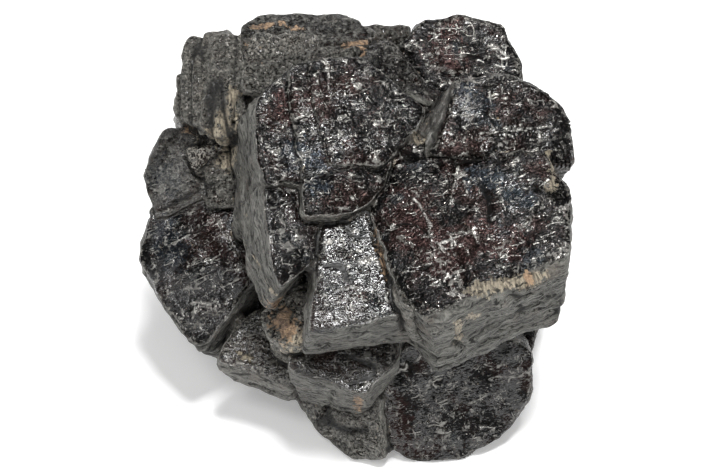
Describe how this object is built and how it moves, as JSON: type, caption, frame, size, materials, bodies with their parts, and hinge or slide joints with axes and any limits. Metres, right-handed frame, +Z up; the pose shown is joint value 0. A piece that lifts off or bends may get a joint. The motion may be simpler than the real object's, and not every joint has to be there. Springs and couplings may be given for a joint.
{
  "type": "limonite pseudomorph after pyrite",
  "caption": "Cluster of dark brown limonite cubes grown together after pyrite, with worn stepped faces, furrowed seams and a level underside",
  "frame": {"origin": "on the floor under the middle of the cluster", "axes": "+X to the right of the seen side, -Y towards its front, +Z up"},
  "size_m": [0.088, 0.0864, 0.0729],
  "materials": {
    "limonite": "dark brown-black, submetallic gloss on worn crystal faces, matte grey on the walls"
  },
  "bodies": {
    "root": {"crystal_cluster": "limonite"}
  },
  "joints": []
}
